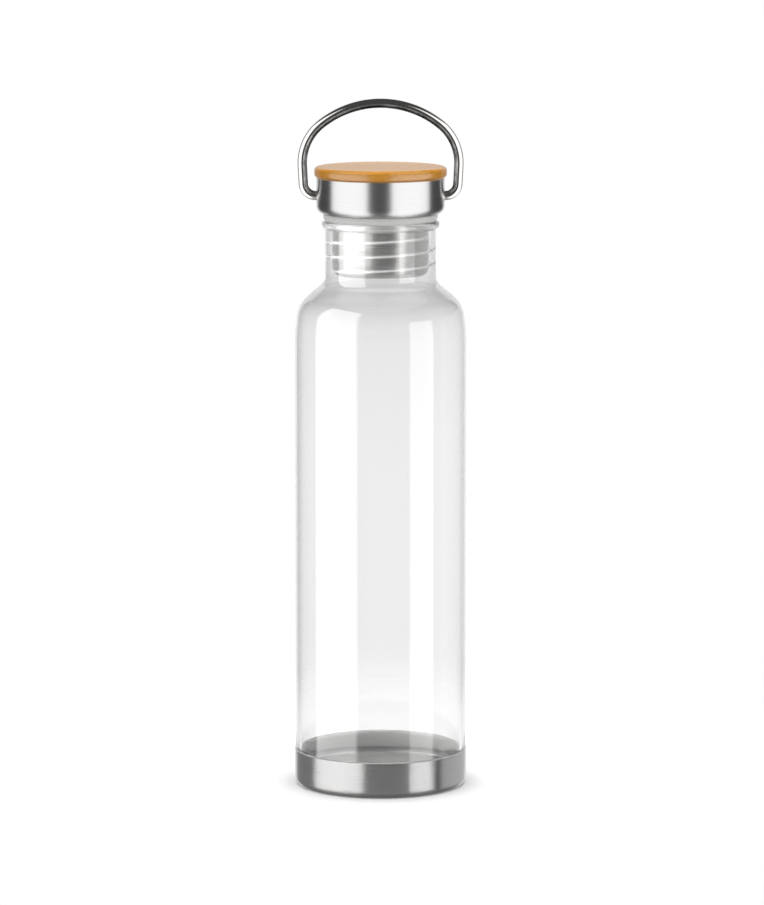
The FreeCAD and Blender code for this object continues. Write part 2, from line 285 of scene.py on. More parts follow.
# On the crest of the ridge and on the bead the surface is rougher, and a small share of it is
# dull white: a painted highlight that draws the crest as thin light lines and lightens the bead.
BEAD_WEIGHT = 0.22
BLOOM_ROUGHNESS, PAINTED_HIGHLIGHT_WHITE = 0.5, 0.2
bead_foot_z = MOUTH_Z - BEAD_HEIGHT
crests = node(tree, "ShaderNodeAttribute", attribute_name="ridge_crest")
bead = node(tree, "ShaderNodeMapRange", {"Value": height.outputs["Z"]},
            {"From Min": (bead_foot_z - 0.4) * MM, "From Max": (bead_foot_z + 0.4) * MM,
             "To Max": BEAD_WEIGHT})
crest_and_bead = node(tree, "ShaderNodeMath", {0: crests.outputs["Fac"], 1: bead.outputs["Result"]},
             operation="MAXIMUM")
frosted = node(tree, "ShaderNodeMath", {0: crest_and_bead.outputs["Value"]}, {1: BLOOM_ROUGHNESS},
               operation="MULTIPLY")
tree.links.new(frosted.outputs["Value"], shader.inputs["Roughness"])
share = node(tree, "ShaderNodeMath", {0: crest_and_bead.outputs["Value"]}, {1: PAINTED_HIGHLIGHT_WHITE},
             operation="MULTIPLY")
# The dull white share is painted highlight on the crest and the bead.
white = node(tree, "ShaderNodeBsdfDiffuse", {}, {"Color": srgb("#F2F2F2")})
glass_and_painted_highlight = node(tree, "ShaderNodeMixShader", {0: share.outputs["Value"], 1: shader.outputs["BSDF"],
                                             2: white.outputs["BSDF"]})
tree.links.new(glass_and_painted_highlight.outputs["Shader"], tree.nodes["Material Output"].inputs["Surface"])
# The glass itself is faintly grey, which shows where it is looked at along the wall.
body_tone = node(tree, "ShaderNodeVolumeAbsorption", {}, {"Color": (0, 0, 0, 1), "Density": 14.0})
tree.links.new(body_tone.outputs["Volume"], tree.nodes["Material Output"].inputs["Volume"])
bottle.data.materials.append(glass)
bottle.visible_shadow = False       # clear glass leaves no dark shadow on the paper
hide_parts("glass_bottle")
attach(bottle, "bottle")


# Base cushion and bond. A die-cut disc of grey EVA foam lies between the glass and the cup, and
# a thin ring of clear adhesive holds the cup's wall on the glass.

SKIN = 0.02             # air between faces that touch, so that the glass shows no doubled face
cushion_low, cushion_high = (np.array(corner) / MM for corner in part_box("base_cushion"))
CUSHION_ROUND = 0.3
flat_r = cushion_high[0] - CUSHION_ROUND
cushion = lathe("foam_disc", outline(
    line((0, cushion_low[2] + SKIN), (flat_r, cushion_low[2] + SKIN), 4),
    bend((flat_r, cushion_low[2] + CUSHION_ROUND + SKIN), CUSHION_ROUND, -90, 0, 5),
    bend((flat_r, cushion_high[2] - CUSHION_ROUND - SKIN), CUSHION_ROUND, 0, 90, 5),
    line((flat_r, cushion_high[2] - SKIN), (0, cushion_high[2] - SKIN), 4),
), 96)
# Grey closed-cell foam: dull, with cells of about half a millimetre.
foam, tree, shader = new_material("eva_foam")
shader.inputs["Roughness"].default_value = 0.9
place = node(tree, "ShaderNodeTexCoord")
cells = node(tree, "ShaderNodeTexVoronoi", {"Vector": place.outputs["Object"]},
             {"Scale": 1 / (0.5 * MM)})
tint = node(tree, "ShaderNodeMix", {"Factor": cells.outputs["Distance"]}, data_type="RGBA")
tint.inputs["A"].default_value = srgb("#8A8A88")
tint.inputs["B"].default_value = srgb("#A2A2A0")
tree.links.new(tint.outputs["Result"], shader.inputs["Base Color"])
cushion.data.materials.append(foam)
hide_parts("base_cushion")
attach(cushion, "bottle")

bond_low, bond_high = (np.array(corner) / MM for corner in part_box("base_bond"))
bond_r = bond_high[0]
rim_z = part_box("base_cup")[1][2] / MM
BEAD_RISE, BEAD_WIDTH = 0.5, 0.3    # the squeezed-out adhesive stands as a bead on the rim
bond = lathe("adhesive_ring", outline(
    line((BODY_R + SKIN, bond_low[2]), (bond_r - SKIN, bond_low[2])),
    line((bond_r - SKIN, bond_low[2]), (bond_r - SKIN, rim_z + SKIN), 6),
    bend((BODY_R + SKIN, rim_z + SKIN), BEAD_WIDTH, 0, 60, 5),
    line((BODY_R + 0.4 * BEAD_WIDTH, rim_z + BEAD_RISE - 0.1), (BODY_R + SKIN, rim_z + BEAD_RISE)),
    line((BODY_R + SKIN, rim_z + BEAD_RISE), (BODY_R + SKIN, bond_low[2]), 6)[:-1],
), 192)
# UV-cured acrylic adhesive: milky from the curing, and uneven over about 4 mm.
adhesive, tree, shader = new_material("uv_cured_adhesive")
shader.inputs["Base Color"].default_value = srgb("#F4F4F2")
shader.inputs["Roughness"].default_value = 0.25
shader.inputs["IOR"].default_value = 1.45
shader.inputs["Transmission Weight"].default_value = 0.75
place = node(tree, "ShaderNodeTexCoord")
uneven = node(tree, "ShaderNodeTexNoise", {"Vector": place.outputs["Object"]},
              {"Scale": 1 / (4 * MM)})
bump = node(tree, "ShaderNodeBump", {"Height": uneven.outputs["Fac"]},
            {"Strength": 0.2, "Distance": 0.05 * MM})
tree.links.new(bump.outputs["Normal"], shader.inputs["Normal"])
bond.data.materials.append(adhesive)
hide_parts("base_bond")
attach(bond, "bottle")


# Base cup. Stainless steel sheet, 0.3 mm thick, pressed to a shallow cup with a small corner and
# a raised panel under it, brushed round its axis and pushed over the foot of the glass.

CUP_SHEET = 0.3
CUP_CORNER = 3.0
PANEL_RISE = 0.8
RIM_ROUND = 0.14
FOOT_WIDTH = 8.9        # from the cup's side to the edge of the raised panel
cup_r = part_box("base_cup")[1][0] / MM
panel_r = cup_r - FOOT_WIDTH
corner_r = cup_r - CUP_CORNER
cup = lathe("steel_base_cup", outline(
    line((0, PANEL_RISE), (panel_r - 0.4, PANEL_RISE), 5),
    bend((panel_r - 0.4, PANEL_RISE - 0.4), 0.4, 90, 0, 5),
    bend((panel_r + 0.4, 0.4), 0.4, 180, 270, 5),
    line((panel_r + 0.4, 0), (corner_r, 0), 5),
    bend((corner_r, CUP_CORNER), CUP_CORNER, -90, 0, 14),
    line((cup_r, CUP_CORNER), (cup_r, rim_z - RIM_ROUND), 12),
    bend((cup_r - RIM_ROUND, rim_z - RIM_ROUND), RIM_ROUND, 0, 180, 9),
    line((cup_r - CUP_SHEET, rim_z - RIM_ROUND), (cup_r - CUP_SHEET, CUP_CORNER), 12),
    bend((corner_r, CUP_CORNER), CUP_CORNER - CUP_SHEET, 0, -90, 12),
    line((corner_r, CUP_SHEET), (panel_r + 0.6, CUP_SHEET), 4),
    line((panel_r + 0.1, PANEL_RISE + CUP_SHEET), (0, PANEL_RISE + CUP_SHEET), 6),
), 256)


def brushed_steel(name, color, roughness, anisotropy):
    """Stainless steel brushed round the axis.

    The brush leaves fine grooves, about a third of a millimetre apart here so that they show,
    and each is a few centimetres long. They stretch a reflection along the axis.
    """
    material, tree, shader = new_material(name)
    shader.inputs["Metallic"].default_value = 1.0
    shader.inputs["Anisotropic"].default_value = anisotropy
    shader.inputs["Anisotropic Rotation"].default_value = 0.25
    turn = node(tree, "ShaderNodeTangent", direction_type="RADIAL", axis="Z")
    tree.links.new(turn.outputs["Tangent"], shader.inputs["Tangent"])
    surface = node(tree, "ShaderNodeUVMap", uv_map="surface_mm")
    streak = node(tree, "ShaderNodeMapping", {"Vector": surface.outputs["UV"]},
                  {"Scale": (1 / 30, 1 / 0.33, 1)})
    grooves = node(tree, "ShaderNodeTexNoise", {"Vector": streak.outputs["Vector"]},
                   {"Scale": 1.0, "Detail": 3.0, "Roughness": 0.6})
    tone = node(tree, "ShaderNodeMapRange", {"Value": grooves.outputs["Fac"]},
                {"From Min": 0.3, "From Max": 0.7, "To Min": 0.93, "To Max": 1.06})
    shade = node(tree, "ShaderNodeVectorMath", {"Scale": tone.outputs["Result"]},
                 {0: srgb(color)[:3]}, operation="SCALE")
    tree.links.new(shade.outputs["Vector"], shader.inputs["Base Color"])
    spread = node(tree, "ShaderNodeMapRange", {"Value": grooves.outputs["Fac"]},
                  {"From Min": 0.3, "From Max": 0.7, "To Min": roughness - 0.05,
                   "To Max": roughness + 0.05})
    tree.links.new(spread.outputs["Result"], shader.inputs["Roughness"])
    bump = node(tree, "ShaderNodeBump", {"Height": grooves.outputs["Fac"]},
                {"Strength": 0.08, "Distance": 0.02 * MM})
    tree.links.new(bump.outputs["Normal"], shader.inputs["Normal"])
    return material


cup.data.materials.append(brushed_steel("brushed_stainless_base", "#C2C1C1", 0.32, 0.9))
# Painted light: the inside of the cup is a paler copy of the same steel, which lifts its shade.
cup.data.materials.append(brushed_steel("stainless_inside_painted_paler", "#C6C5C4", 0.3, 0.9))
centre = np.zeros(len(cup.data.polygons) * 3)
cup.data.polygons.foreach_get("center", centre)
centre = centre.reshape(-1, 3) / MM
INSIDE_FROM = 0.2       # the inside begins this far in from the outer wall
# painted_inside marks the faces that get the paler, painted-light copy.
painted_inside = np.hypot(centre[:, 0], centre[:, 1]) < cup_r - INSIDE_FROM
painted_inside &= centre[:, 2] > CUP_SHEET + SKIN
cup.data.polygons.foreach_set("material_index", painted_inside.astype(np.int32))
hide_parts("base_cup")
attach(cup, "bottle")


# Lid gasket. A moulded ring of grey translucent silicone, stretched round the plug under the
# lid and pressed on the mouth. Its lower half tapers in.

gasket_low, gasket_high = (np.array(corner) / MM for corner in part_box("lid_gasket"))
gasket_r = gasket_high[0]
GASKET_WIDTH = 2.75
GASKET_TAPER = 0.65
GASKET_ROUND = 0.4
low_z, high_z = gasket_low[2] + SKIN, gasket_high[2] - SKIN
middle_z = (low_z + high_z) / 2
bore_round_r = gasket_r - GASKET_WIDTH + GASKET_ROUND
foot_round_r = gasket_r - GASKET_TAPER - GASKET_ROUND
gasket = lathe("silicone_gasket", outline(
    line((bore_round_r, low_z), (foot_round_r, low_z), 4),
    bend((foot_round_r, low_z + GASKET_ROUND), GASKET_ROUND, -90, -25, 6),
    line((gasket_r - 0.08, middle_z - 0.3), (gasket_r, middle_z + 0.2), 3),
    bend((gasket_r - GASKET_ROUND, high_z - GASKET_ROUND), GASKET_ROUND, 0, 90, 6),
    line((gasket_r - GASKET_ROUND, high_z), (bore_round_r, high_z), 4),
    bend((bore_round_r, high_z - GASKET_ROUND), GASKET_ROUND, 90, 180, 5),
    bend((bore_round_r, low_z + GASKET_ROUND), GASKET_ROUND, 180, 270, 5)[:-1],
), 192)
# Silicone rubber with a mould-finished, satin skin. Light goes a few millimetres into it.
silicone, tree, shader = new_material("translucent_silicone")
shader.inputs["Base Color"].default_value = srgb("#939392")
shader.inputs["Roughness"].default_value = 0.45
shader.inputs["IOR"].default_value = 1.41
shader.inputs["Subsurface Weight"].default_value = 0.6
shader.inputs["Subsurface Radius"].default_value = (1.0, 1.0, 1.0)
shader.inputs["Subsurface Scale"].default_value = 1.5 * MM
place = node(tree, "ShaderNodeTexCoord")
skin = node(tree, "ShaderNodeTexNoise", {"Vector": place.outputs["Object"]},
            {"Scale": 1 / (0.4 * MM)})
bump = node(tree, "ShaderNodeBump", {"Height": skin.outputs["Fac"]},
            {"Strength": 0.1, "Distance": 0.05 * MM})
tree.links.new(bump.outputs["Normal"], shader.inputs["Normal"])
gasket.data.materials.append(silicone)
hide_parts("lid_gasket")
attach(gasket, "gasket")


# Plug. A stainless steel cup that hangs from the lid into the neck, with a rolled screw ridge,
# a plain collar above it and a flange that lies inside the shell. A plastic liner backs it.

plug_low, plug_high = (np.array(corner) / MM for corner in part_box("plug_cup"))
plug_z, plug_top_z = plug_low[2], plug_high[2]
flange_r = plug_high[0]
PLUG_CREST = NECK_BORE - 0.3
PLUG_ROOT = NECK_BORE - GLASS_RIDGE - 0.3
PLUG_SHEET = 0.8
PLUG_BORE = PLUG_ROOT - PLUG_SHEET
PLUG_CORNER = 3.0
PLUG_RIDGE_FOOT = 2.4
PLUG_RIDGE_SHOWN = 0.3  # drawn lower than it is rolled, as the softened plug shows it
FLANGE_SHEET = 0.6
collar_z = MOUTH_Z - 1.8
flange_z = plug_top_z - FLANGE_SHEET


def plug_ridge(t, z, r):
    """The ridge stands out from the plug, midway between the turns of the glass ridge."""
    height = screw_ridge(t, z, plug_z + 2.9, MOUTH_Z - 7.9, 54, PLUG_RIDGE_FOOT)
    wall = np.abs(r - PLUG_ROOT) < 0.01
    return PLUG_RIDGE_SHOWN * (PLUG_CREST - PLUG_ROOT) * height * wall


plug = lathe("steel_plug", outline(
    line((0, plug_z), (PLUG_ROOT - PLUG_CORNER, plug_z), 5),
    bend((PLUG_ROOT - PLUG_CORNER, plug_z + PLUG_CORNER), PLUG_CORNER, -90, 0, 14),
    line((PLUG_ROOT, plug_z + PLUG_CORNER), (PLUG_ROOT, collar_z - 0.9), 90),
    bend((PLUG_ROOT + 0.3, collar_z - 0.5), 0.3, 180, 120, 4),
    bend((PLUG_CREST - 0.3, collar_z), 0.3, -60, 0, 4),
    line((PLUG_CREST, collar_z + 0.1), (PLUG_CREST, flange_z + SKIN), 6),
    line((PLUG_CREST + 0.1, flange_z + SKIN), (flange_r, flange_z + SKIN), 3),
    line((flange_r, plug_top_z), (PLUG_BORE, plug_top_z), 3),
    line((PLUG_BORE, plug_top_z - 0.5), (PLUG_BORE, plug_z + PLUG_CORNER), 4),
    bend((PLUG_ROOT - PLUG_CORNER, plug_z + PLUG_CORNER), PLUG_CORNER - PLUG_SHEET, 0, -90, 8),
    line((PLUG_ROOT - PLUG_CORNER, plug_z + PLUG_SHEET), (0, plug_z + PLUG_SHEET), 3),
), 256, plug_ridge)
plug.data.materials.append(brushed_steel("satin_stainless_plug", "#B9B8B7", 0.3, 0.6))
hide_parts("plug_cup")
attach(plug, "lid")


# Liner, core and adhesive pad. Moulded polypropylene parts inside the lid, which keep their
# design shapes; the core holds the sockets of the handle. None of them shows from outside.

def moulded_plastic(name, color):
    """Polypropylene with the fine, even grain of a spark-eroded mould, about 0.3 mm."""
    material, tree, shader = new_material(name)
    shader.inputs["IOR"].default_value = 1.49
    shader.inputs["Roughness"].default_value = 0.5
    place = node(tree, "ShaderNodeTexCoord")
    grain = node(tree, "ShaderNodeTexNoise", {"Vector": place.outputs["Object"]},
                 {"Scale": 1 / (0.3 * MM)})
    tint = node(tree, "ShaderNodeMix", {"Factor": grain.outputs["Fac"]}, data_type="RGBA")
    tint.inputs["A"].default_value = srgb(color)
    tint.inputs["B"].default_value = srgb("#E8E8E6")
    tree.links.new(tint.outputs["Result"], shader.inputs["Base Color"])
    bump = node(tree, "ShaderNodeBump", {"Height": grain.outputs["Fac"]},
                {"Strength": 0.3, "Distance": 0.02 * MM})
    tree.links.new(bump.outputs["Normal"], shader.inputs["Normal"])
    return material


def refinish(name, material):
    """Gives a carried-over node one material."""
    slots = frame["nodes"][name].data.materials
    slots.clear()
    slots.append(material)


polypropylene = moulded_plastic("moulded_polypropylene", "#DADAD8")
refinish("plug_liner", polypropylene)
refinish("lid_core", polypropylene)
refinish("bamboo_bond", adhesive)


# Lid shell. Stainless steel sheet, 0.6 mm thick, drawn to a round shell with a soft lower corner
# and brushed round its axis. The plug hangs through its floor and the handle's ends enter
# through a hole on each side.

SHELL_SHEET = 0.6
SHELL_CORNER = 3.4
SHELL_ROUND = 0.05
WIRE_R = 2.0
WIRE_HOLE_R = WIRE_R + 0.08
shell_low, shell_high = (np.array(corner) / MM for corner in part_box("lid_shell"))
shell_r, lid_z, shell_top_z = shell_high[0], shell_low[2], shell_high[2]
RIM_LIFT = 0.5          # the shell is drawn this much higher, into the shadow of the bamboo's rim
shell_edge_z = shell_top_z + RIM_LIFT
shell_bore = shell_r - SHELL_SHEET
corner_r = shell_r - SHELL_CORNER
plug_hole_r = PLUG_CREST + 0.15
shell = lathe("steel_lid_shell", outline(
    line((plug_hole_r, lid_z), (corner_r, lid_z), 4),
    bend((corner_r, lid_z + SHELL_CORNER), SHELL_CORNER, -90, 0, 16),
    line((shell_r, lid_z + SHELL_CORNER), (shell_r, shell_edge_z - 0.1), 24),
    bend((shell_r - SHELL_ROUND, shell_edge_z - SHELL_ROUND - SKIN), SHELL_ROUND, 0, 90, 3),
    bend((shell_bore + SHELL_ROUND, shell_edge_z - SHELL_ROUND - SKIN), SHELL_ROUND, 90, 180, 3),
    line((shell_bore, shell_edge_z - 0.2), (shell_bore, lid_z + SHELL_CORNER), 24),
    bend((corner_r, lid_z + SHELL_CORNER), SHELL_CORNER - SHELL_SHEET, 0, -90, 12),
    line((corner_r, lid_z + SHELL_SHEET), (plug_hole_r, lid_z + SHELL_SHEET), 4),
), 256)
# The wire's holes are drilled right across on the handle's pivot line, by a round rod:
# y = r cos a, z = r sin a + pivot height, from one end in x to the other.
DRILL_SIDES = 64
DRILL_REACH = 40.0
swing = next(joint for joint in frame["joints"] if joint["name"] == "handle_swing")
pivot_z = swing["pos_m"][2] / MM
a = np.radians(np.arange(DRILL_SIDES) * 360 / DRILL_SIDES)
circle = np.stack([0 * a, WIRE_HOLE_R * np.cos(a), WIRE_HOLE_R * np.sin(a) + pivot_z], axis=1)
near = np.arange(DRILL_SIDES)
after = (near + 1) % DRILL_SIDES
far = near + DRILL_SIDES
sides = np.stack([near, after, after + DRILL_SIDES, far], axis=1).tolist()
drill = make_mesh("drill", np.vstack([circle - (DRILL_REACH, 0, 0), circle + (DRILL_REACH, 0, 0)]),
                  sides + [near[::-1].tolist(), far.tolist()], np.zeros((DRILL_SIDES * 6, 2)))
cut = shell.modifiers.new("wire_holes", "BOOLEAN")
cut.object = drill
cut.operation = "DIFFERENCE"
cut.solver = "EXACT"
pierced = shell.evaluated_get(bpy.context.evaluated_depsgraph_get())
shell.data = bpy.data.meshes.new_from_object(pierced)
shell.modifiers.clear()
bpy.data.objects.remove(drill)
shell.data.set_sharp_from_angle(angle=math.radians(40))     # the holes keep crisp edges
shell.data.materials.clear()
shell.data.materials.append(brushed_steel("brushed_stainless_lid", "#C6C5C5", 0.34, 0.9))
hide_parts("lid_shell")
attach(shell, "lid")


# Bamboo disc. Laminated bamboo, turned to a disc with rounded edges and a spigot below that fits
# inside the shell, sanded and oiled.

bamboo_low, bamboo_high = (np.array(corner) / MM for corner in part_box("bamboo_disc"))
bamboo_r, bamboo_top_z = bamboo_high[0], bamboo_high[2]
spigot_r = shell_bore - 0.25
LOWER_ROUND, UPPER_ROUND = 1.2, 1.6
SHADOW_LINE = 0.4       # the narrow gap between the shell's edge and the rim of the disc
rim_foot_z = shell_top_z + RIM_LIFT + SHADOW_LINE
bamboo = lathe("bamboo_cap", outline(
    line((0, bamboo_low[2] + SKIN), (spigot_r - 0.2, bamboo_low[2] + SKIN), 5),
    line((spigot_r, bamboo_low[2] + 0.2), (spigot_r, shell_edge_z), 4),
    line((spigot_r + 0.1, shell_edge_z), (shell_r - 0.1, shell_edge_z), 3),
    line((shell_r - 0.1, rim_foot_z), (bamboo_r - LOWER_ROUND - 0.1, rim_foot_z)),
    bend((bamboo_r - LOWER_ROUND, rim_foot_z + LOWER_ROUND), LOWER_ROUND, -90, 0, 12),
    bend((bamboo_r - UPPER_ROUND, bamboo_top_z - UPPER_ROUND), UPPER_ROUND, 0, 90, 14),
    line((bamboo_r - UPPER_ROUND, bamboo_top_z), (0, bamboo_top_z), 12),
), 256)

# Carbonised bamboo under oil: warm tan, with fibre bundles half a millimetre wide as fine darker
# lines along the strips, strips about 7 mm wide that differ a little, and a satin gloss.
STRIP_WIDTH = 7.0
bamboo_wood, tree, shader = new_material("oiled_bamboo")
place = node(tree, "ShaderNodeTexCoord")
split = node(tree, "ShaderNodeSeparateXYZ", {"Vector": place.outputs["Object"]})
strip = node(tree, "ShaderNodeMath", {0: split.outputs["Y"]}, {1: STRIP_WIDTH * MM},
             operation="DIVIDE")
strip_no = node(tree, "ShaderNodeMath", {0: strip.outputs["Value"]}, operation="FLOOR")
strip_tone = node(tree, "ShaderNodeTexWhiteNoise", {"W": strip_no.outputs["Value"]},
                  noise_dimensions="1D")
along = node(tree, "ShaderNodeMapping", {"Vector": place.outputs["Object"]},
             {"Scale": (1 / (14 * MM), 1 / (0.5 * MM), 1 / (0.5 * MM))})
fibre = node(tree, "ShaderNodeTexNoise", {"Vector": along.outputs["Vector"]},
             {"Scale": 1.0, "Detail": 4.0, "Roughness": 0.65})
mottle = node(tree, "ShaderNodeTexNoise", {"Vector": place.outputs["Object"]},
              {"Scale": 1 / (0.9 * MM), "Detail": 2.0, "Roughness": 0.5})
mixed = node(tree, "ShaderNodeMath", {0: fibre.outputs["Fac"], 1: mottle.outputs["Fac"]},
             operation="ADD")
contrast = node(tree, "ShaderNodeMapRange", {"Value": mixed.outputs["Value"]},
                {"From Min": 0.6, "From Max": 1.4})
base = node(tree, "ShaderNodeMix", {"Factor": contrast.outputs["Result"]}, data_type="RGBA")
base.inputs["A"].default_value = srgb("#825907")
base.inputs["B"].default_value = srgb("#9E7212")
tone = node(tree, "ShaderNodeMapRange", {"Value": strip_tone.outputs["Value"]},
            {"To Min": 0.88, "To Max": 1.08})
color = node(tree, "ShaderNodeVectorMath",
             {0: base.outputs["Result"], "Scale": tone.outputs["Result"]}, operation="SCALE")
tree.links.new(color.outputs["Vector"], shader.inputs["Base Color"])
shader.inputs["Roughness"].default_value = 0.4
shader.inputs["IOR"].default_value = 1.5
shader.inputs["Coat Weight"].default_value = 1.0
shader.inputs["Coat Roughness"].default_value = 0.22
shader.inputs["Coat IOR"].default_value = 1.75
shader.inputs["Coat Tint"].default_value = srgb("#FFF0CC")
bump = node(tree, "ShaderNodeBump", {"Height": fibre.outputs["Fac"]},
            {"Strength": 0.2, "Distance": 0.05 * MM})
tree.links.new(bump.outputs["Normal"], shader.inputs["Normal"])
bamboo.data.materials.append(bamboo_wood)
bamboo.visible_glossy = False       # the polished wire and shell don't mirror its colour
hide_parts("bamboo_disc")
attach(bamboo, "lid")


# Carry handle. Stainless wire, 4 mm thick, bent to a wide arch with two legs that lean in and
# turn into the sides of the lid, then polished bright.

wire_high = np.array(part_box("carry_handle")[1]) / MM
half_width = wire_high[0] - WIRE_R
crown_z = wire_high[2] - WIRE_R
CROWN_R = half_width + 7.2
SIDE_R = 20.8
FOOT_R = 5.2
LEG_LEAN = 3.0
WIRE_END = shell_r - 6.2
END_ROUND = 0.5


def wire_path():
    """The middle line of the wire from one end to the other, as points (x, z).

    A crown arc, a tighter side bend tangent to it, a straight leg that leans in, a foot bend
    and a straight end on the pivot line, and the same mirrored in x.
    """
    side_x = half_width - SIDE_R
    crown_angle = math.degrees(math.acos(side_x / (CROWN_R - SIDE_R)))
    side_z = crown_z - CROWN_R + (CROWN_R - SIDE_R) * math.sin(math.radians(crown_angle))
    lean = math.radians(LEG_LEAN)
    drop = side_z - SIDE_R * math.sin(lean) - pivot_z - FOOT_R * (1 - math.sin(lean))
    foot_x = side_x + (SIDE_R - FOOT_R) * math.cos(lean) - drop * math.tan(lean)
    half = outline(
        bend((0, crown_z - CROWN_R), CROWN_R, 90, crown_angle, 40),
        bend((side_x, side_z), SIDE_R, crown_angle, -LEG_LEAN, 36),
        bend((foot_x, pivot_z + FOOT_R), FOOT_R, -LEG_LEAN, -90, 24),
        line((foot_x, pivot_z), (WIRE_END, pivot_z), 6),
    )
    return np.vstack([half[:0:-1], half * (-1, 1)])


def round_wire(name, path, radius, around=40):
    """A round wire along a path in the XZ plane: path + radius * (cos a * n + sin a * Y).

    n is the path's normal in its plane. The rings of an end follow a quarter circle of radius
    END_ROUND, and a flat cap closes it.
    """
    tangent = np.gradient(path, axis=0)
    tangent /= np.linalg.norm(tangent, axis=1)[:, None]
    dome = np.radians(np.linspace(0, 84, 6))
    inset = END_ROUND - END_ROUND * np.sin(dome)
    narrow = radius - END_ROUND + END_ROUND * np.cos(dome)
    start = path[0] + tangent[0] * inset[::-1, None]
    end = path[-1] - tangent[-1] * inset[:, None]
    middle = np.vstack([start, path[2:-2], end])
    direction = np.vstack([np.repeat(tangent[:1], len(dome), 0), tangent[2:-2],
                           np.repeat(tangent[-1:], len(dome), 0)])
    thick = np.concatenate([narrow[::-1], np.full(len(path) - 4, radius), narrow])
    a = np.arange(around) * 2 * np.pi / around
    out = thick[:, None] * np.cos(a)
    x = middle[:, :1] - direction[:, 1:] * out
    z = middle[:, 1:] + direction[:, :1] * out
    y = thick[:, None] * np.sin(a)
    points = np.stack([x, y, z], axis=2).reshape(-1, 3)
    rows = len(middle)
    i, j = np.arange(rows - 1)[:, None], np.arange(around)[None, :]
    right = (j + 1) % around
    quads = np.stack([i * around + j, i * around + right, (i + 1) * around + right,
                      (i + 1) * around + j], axis=2).reshape(-1, 4)
    way = np.concatenate([[0], np.cumsum(np.linalg.norm(np.diff(middle, axis=0), axis=1))])
    step = radius * 2 * np.pi / around
    low, high = way[:-1][:, None] + 0 * j, way[1:][:, None] + 0 * j
    u0, u1 = j * step + 0 * i, (j + 1) * step + 0 * i
    uv = np.stack([u0, low, u1, low, u1, high, u0, high], axis=2).reshape(-1, 2)
    faces = quads.tolist()
    first = np.arange(around)
    caps = [first[::-1].tolist(), (first + (rows - 1) * around).tolist()]
    uv = np.vstack([uv, np.zeros((2 * around, 2))])
    return make_mesh(name, points, faces + caps, uv)


handle = round_wire("wire_handle", wire_path(), WIRE_R)
# Polished stainless steel: nearly a mirror on the outside of the loop. The inside of the loop is
# painted a darker grey in patches of 3 by 5 mm, and rougher: painted shade that hides the
# reflection of the light on the other side there.
polished, tree, shader = new_material("polished_stainless_wire")
shader.inputs["Metallic"].default_value = 1.0
surface = node(tree, "ShaderNodeUVMap", uv_map="surface_mm")
split = node(tree, "ShaderNodeSeparateXYZ", {"Vector": surface.outputs["UV"]})
around = node(tree, "ShaderNodeMath", {0: split.outputs["X"]}, {1: WIRE_R}, operation="DIVIDE")
inward = node(tree, "ShaderNodeMath", {0: around.outputs["Value"]}, operation="COSINE")
painted_inside = node(tree, "ShaderNodeMapRange", {"Value": inward.outputs["Value"]},
             {"From Min": 0.0, "From Max": 0.35}, interpolation_type="SMOOTHSTEP")
shade_patch_scale = node(tree, "ShaderNodeMapping", {"Vector": surface.outputs["UV"]},
             {"Scale": (1 / 3, 1 / 5, 1)})
lines = node(tree, "ShaderNodeTexNoise", {"Vector": shade_patch_scale.outputs["Vector"]}, {"Scale": 1.0})
patches = node(tree, "ShaderNodeMapRange", {"Value": lines.outputs["Fac"]},
               {"From Min": 0.35, "From Max": 0.8})
# Painted shade: a darker, mottled grey for the inside of the loop.
painted_shade_grey = node(tree, "ShaderNodeMix", {"Factor": patches.outputs["Result"]}, data_type="RGBA")
painted_shade_grey.inputs["A"].default_value = srgb("#565452")
painted_shade_grey.inputs["B"].default_value = srgb("#B4B2B0")
tone = node(tree, "ShaderNodeMix", {"Factor": painted_inside.outputs["Result"], "B": painted_shade_grey.outputs["Result"]},
            data_type="RGBA")
tone.inputs["A"].default_value = srgb("#D2D0CE")
tree.links.new(tone.outputs["Result"], shader.inputs["Base Color"])
spread = node(tree, "ShaderNodeMapRange", {"Value": painted_inside.outputs["Result"]},
              {"To Min": 0.1, "To Max": 0.35})
tree.links.new(spread.outputs["Result"], shader.inputs["Roughness"])
handle.data.materials.append(polished)
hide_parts("carry_handle")
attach(handle, "handle")


# Studio. White paper that fades into a white surround, soft lights at the sides, above and
# behind, and only a dim card beside the camera, so that glass and steel get clear edges.

FLOOR_R = 0.5
floor_mesh = bpy.data.meshes.new("studio_floor")
floor_mesh.from_pydata([(-FLOOR_R, -FLOOR_R, 0), (FLOOR_R, -FLOOR_R, 0),
                        (FLOOR_R, FLOOR_R, 0), (-FLOOR_R, FLOOR_R, 0)],
                       [], [(0, 1, 2, 3)])
floor = bpy.data.objects.new("studio_floor", floor_mesh)
bpy.context.scene.collection.objects.link(floor)
# Matt white paper: it shows nothing but the soft shadow round the foot, and it fades out.
paper, tree, shader = new_material("white_paper")
shader.inputs["Base Color"].default_value = srgb("#F4F4F4")
shader.inputs["Roughness"].default_value = 1.0
shader.inputs["Specular IOR Level"].default_value = 0.0
shader.inputs["Emission Color"].default_value = (1, 1, 1, 1)
shader.inputs["Emission Strength"].default_value = 0.02
place = node(tree, "ShaderNodeTexCoord")
away = node(tree, "ShaderNodeVectorMath", {0: place.outputs["Object"]}, operation="LENGTH")
fade = node(tree, "ShaderNodeMapRange", {"Value": away.outputs["Value"]},
            {"From Min": 0.12, "From Max": 0.30}, interpolation_type="SMOOTHSTEP")
clear = node(tree, "ShaderNodeBsdfTransparent")
mixed = node(tree, "ShaderNodeMixShader", {0: fade.outputs["Result"], 1: shader.outputs["BSDF"],
                                           2: clear.outputs["BSDF"]})
tree.links.new(mixed.outputs["Shader"], tree.nodes["Material Output"].inputs["Surface"])
floor.data.materials.append(paper)
floor.visible_glossy = False
floor.visible_shadow = False

